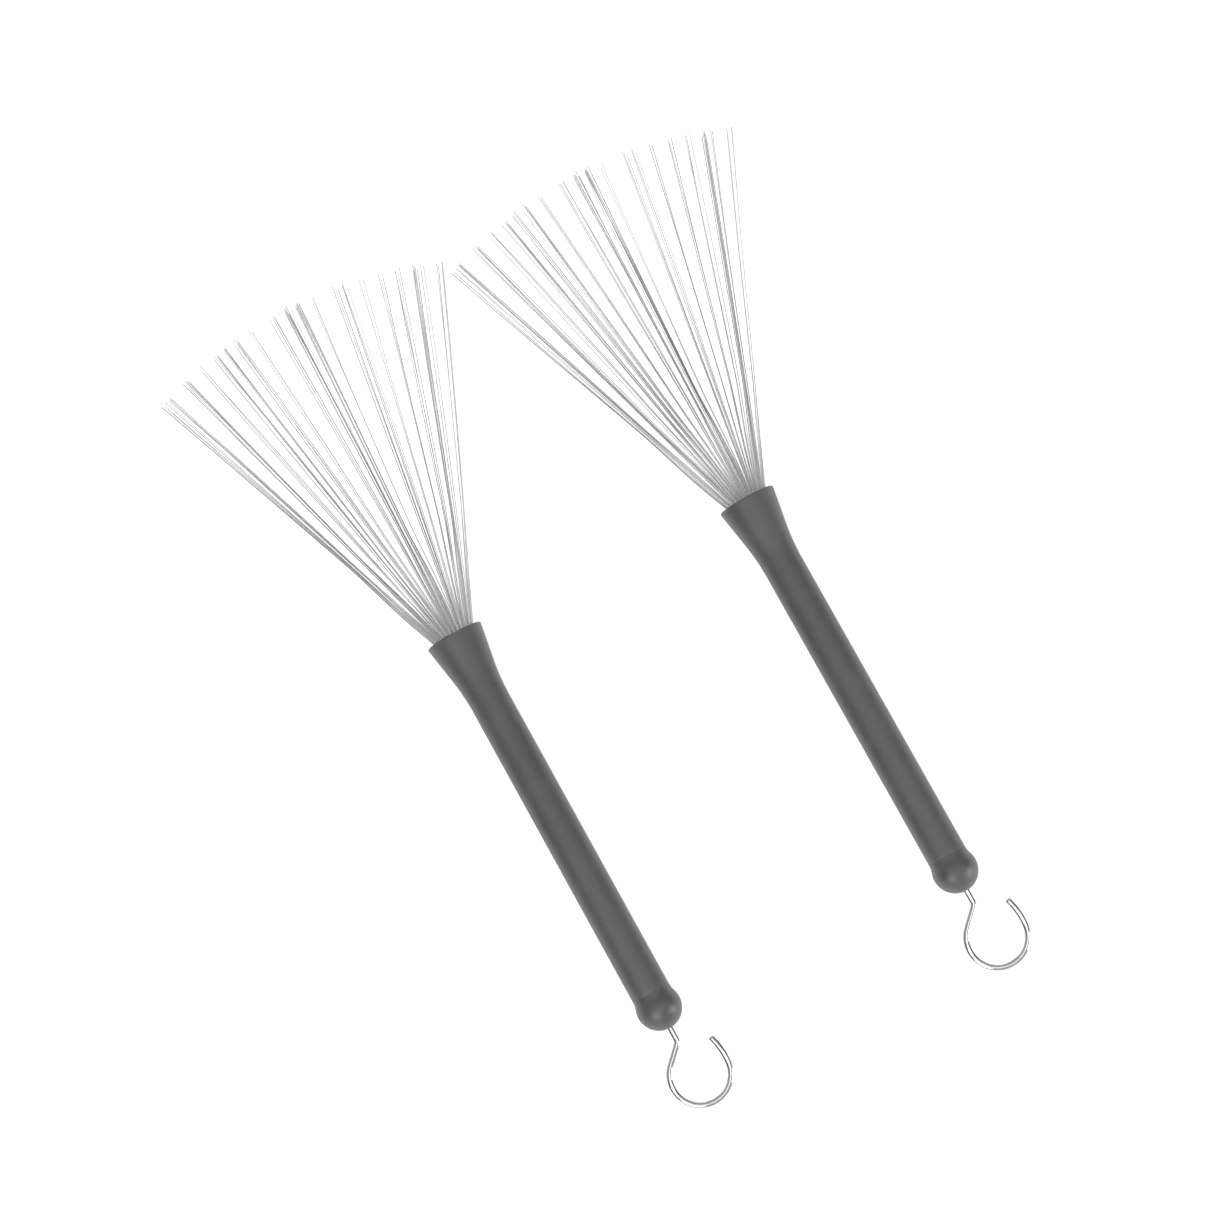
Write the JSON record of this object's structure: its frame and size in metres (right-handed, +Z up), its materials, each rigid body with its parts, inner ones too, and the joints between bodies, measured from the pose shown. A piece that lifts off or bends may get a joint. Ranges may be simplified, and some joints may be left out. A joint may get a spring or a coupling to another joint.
{
  "type": "wire drum brushes",
  "caption": "Retractable wire drum brushes lying side by side: fans of thin spring-steel wire, flared rubber grips with ball ends, and pull rods with open hooks.",
  "frame": {"origin": "on the table, in the middle of the pair's box", "axes": "+Y along the brushes towards the wire tips, +X from the left brush to the right one, +Z up from the table"},
  "size_m": [0.233, 0.338, 0.0218],
  "materials": {
    "grip_rubber": "matte moulded rubber",
    "ball_rubber": "satin moulded rubber",
    "tube_aluminium": "drawn, satin",
    "nylon": "moulded",
    "bush_brass": "turned",
    "ring_rubber": "smooth",
    "washer_steel": "zinc plated",
    "rod_steel": "bright plated wire",
    "ferrule_aluminium": "crimped",
    "wire_steel": "drawn spring wire"
  },
  "bodies": {
    "left_handle": {"left_grip_sleeve": "grip_rubber", "left_butt_ball": "ball_rubber", "left_handle_tube": "tube_aluminium", "left_mouth_funnel": "nylon", "left_butt_plug": "nylon", "left_rod_bush": "bush_brass", "left_friction_ring": "ring_rubber", "left_stop_washer": "washer_steel"},
    "left_glide": {"left_glide_ring": "nylon"},
    "left_rod": {"left_pull_rod": "rod_steel", "left_stop_collar": "washer_steel", "left_wire_ferrule": "ferrule_aluminium", "left_wire_row_1": "wire_steel", "left_wire_row_2": "wire_steel", "left_wire_row_3": "wire_steel", "left_wire_row_4": "wire_steel", "left_wire_row_5": "wire_steel", "left_wire_row_6": "wire_steel", "left_wire_row_7": "wire_steel", "left_wire_row_8": "wire_steel", "left_wire_row_9": "wire_steel"},
    "right_handle": {"right_grip_sleeve": "grip_rubber", "right_butt_ball": "ball_rubber", "right_handle_tube": "tube_aluminium", "right_mouth_funnel": "nylon", "right_butt_plug": "nylon", "right_rod_bush": "bush_brass", "right_friction_ring": "ring_rubber", "right_stop_washer": "washer_steel"},
    "right_glide": {"right_glide_ring": "nylon"},
    "right_rod": {"right_pull_rod": "rod_steel", "right_stop_collar": "washer_steel", "right_wire_ferrule": "ferrule_aluminium", "right_wire_row_1": "wire_steel", "right_wire_row_2": "wire_steel", "right_wire_row_3": "wire_steel", "right_wire_row_4": "wire_steel", "right_wire_row_5": "wire_steel", "right_wire_row_6": "wire_steel", "right_wire_row_7": "wire_steel", "right_wire_row_8": "wire_steel", "right_wire_row_9": "wire_steel"}
  },
  "joints": [
    {"name": "right_apart", "type": "slide", "parent": "left_handle", "child": "right_handle", "axis": [1, 0, 0], "range_m": [0, 0.06]},
    {"name": "left_pull", "type": "slide", "parent": "left_handle", "child": "left_glide", "axis": [0, -0.9999, -0.0166], "range_m": [0, 0.1231], "deforming": ["left_wire_row_1", "left_wire_row_2", "left_wire_row_3", "left_wire_row_4", "left_wire_row_5", "left_wire_row_6", "left_wire_row_7", "left_wire_row_8", "left_wire_row_9"]},
    {"name": "left_turn", "type": "hinge", "parent": "left_glide", "child": "left_rod", "pos_m": [-0.06283, 0.03297, 0.01095], "axis": [0, -0.9999, -0.0166], "continuous": true},
    {"name": "right_pull", "type": "slide", "parent": "right_handle", "child": "right_glide", "axis": [0, -0.9999, -0.0166], "range_m": [0, 0.1231], "deforming": ["right_wire_row_1", "right_wire_row_2", "right_wire_row_3", "right_wire_row_4", "right_wire_row_5", "right_wire_row_6", "right_wire_row_7", "right_wire_row_8", "right_wire_row_9"]},
    {"name": "right_turn", "type": "hinge", "parent": "right_glide", "child": "right_rod", "pos_m": [0.05387, 0.02437, 0.01095], "axis": [0, -0.9999, -0.0166], "continuous": true}
  ]
}
